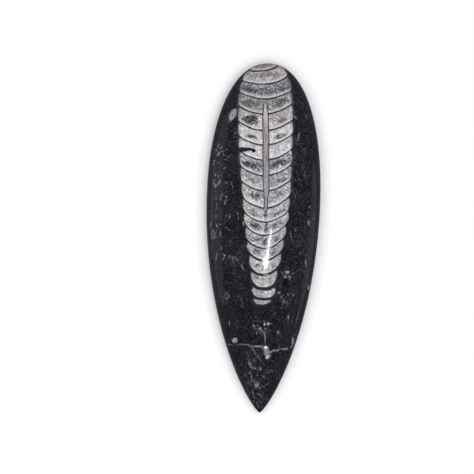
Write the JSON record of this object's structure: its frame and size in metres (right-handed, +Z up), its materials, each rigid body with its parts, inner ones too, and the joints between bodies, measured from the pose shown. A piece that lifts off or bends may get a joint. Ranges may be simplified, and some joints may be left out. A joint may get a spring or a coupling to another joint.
{
  "type": "polished orthoceras fossil",
  "caption": "Teardrop of black limestone with a domed, polished top that cuts through a pale chambered shell, and a flat sawn base to lie on.",
  "frame": {"origin": "on the flat base, in the middle of the piece", "axes": "+Y along the piece from its pointed tip to its blunt end, +Z up from the base, +X across"},
  "size_m": [0.0406, 0.125, 0.0185],
  "materials": {
    "polished_limestone": "polished black limestone with a pale calcite shell, sawn and matt on the base"
  },
  "bodies": {
    "root": {"orthoceras_stone": "polished_limestone"}
  },
  "joints": []
}
